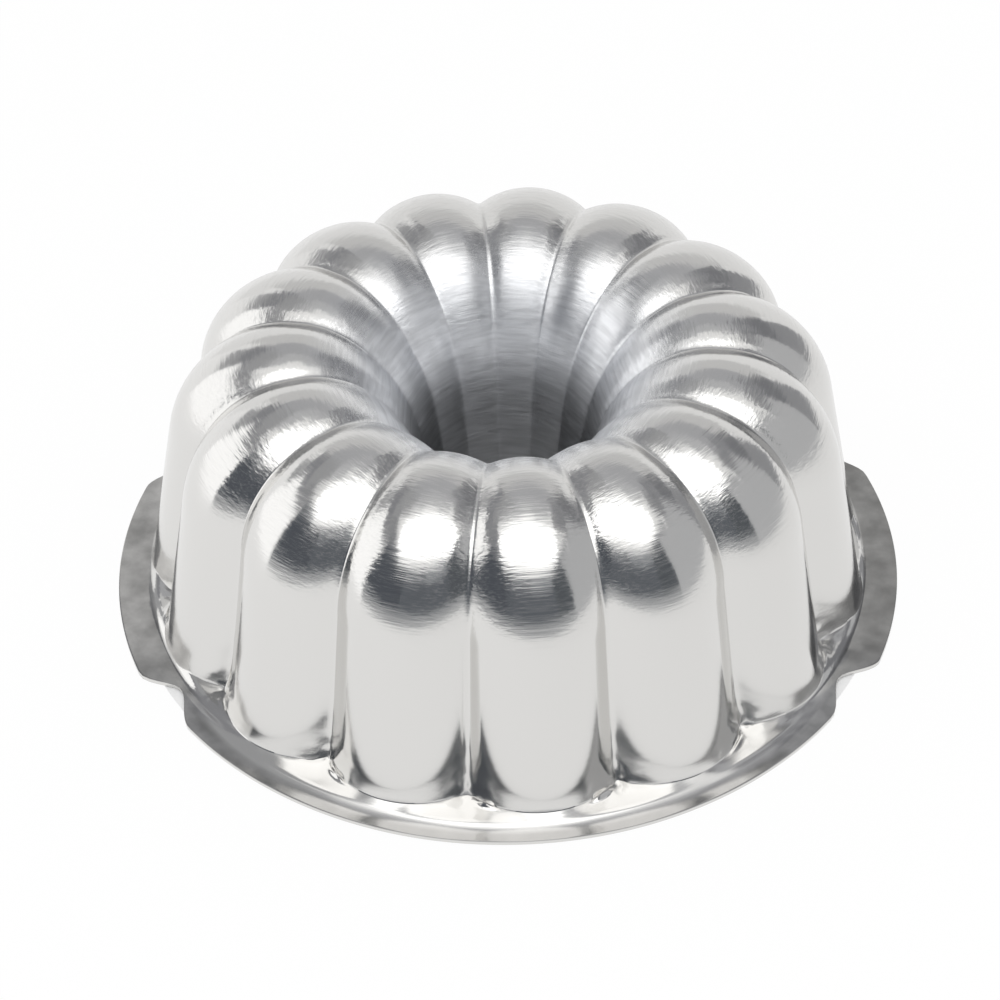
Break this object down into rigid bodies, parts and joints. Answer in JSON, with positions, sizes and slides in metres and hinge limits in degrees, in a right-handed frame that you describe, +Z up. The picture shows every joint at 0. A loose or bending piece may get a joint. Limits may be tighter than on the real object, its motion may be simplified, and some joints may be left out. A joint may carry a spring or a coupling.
{
  "type": "fluted ring cake mould",
  "caption": "Fluted ring mould for brioche and ring cakes, pressed from thin aluminium, with an open centre tube, a sloping rim and flat ears, standing upside down on its rim.",
  "frame": {"origin": "centre of the rim's underside, where the mould stands upside down", "axes": "+Z up through the centre tube, towards the tops of the lobes; X through the two ears; -Y towards the front"},
  "size_m": [0.2526, 0.25, 0.09],
  "materials": {
    "pressed_aluminium": "bright, with fine turning lines round the axis"
  },
  "bodies": {
    "root": {"front_rim": "pressed_aluminium", "rear_rim": "pressed_aluminium", "left_ear": "pressed_aluminium", "right_ear": "pressed_aluminium", "foot_bend_ring": "pressed_aluminium", "outer_wall": "pressed_aluminium", "shoulder": "pressed_aluminium", "throat": "pressed_aluminium", "centre_tube": "pressed_aluminium"}
  },
  "joints": []
}
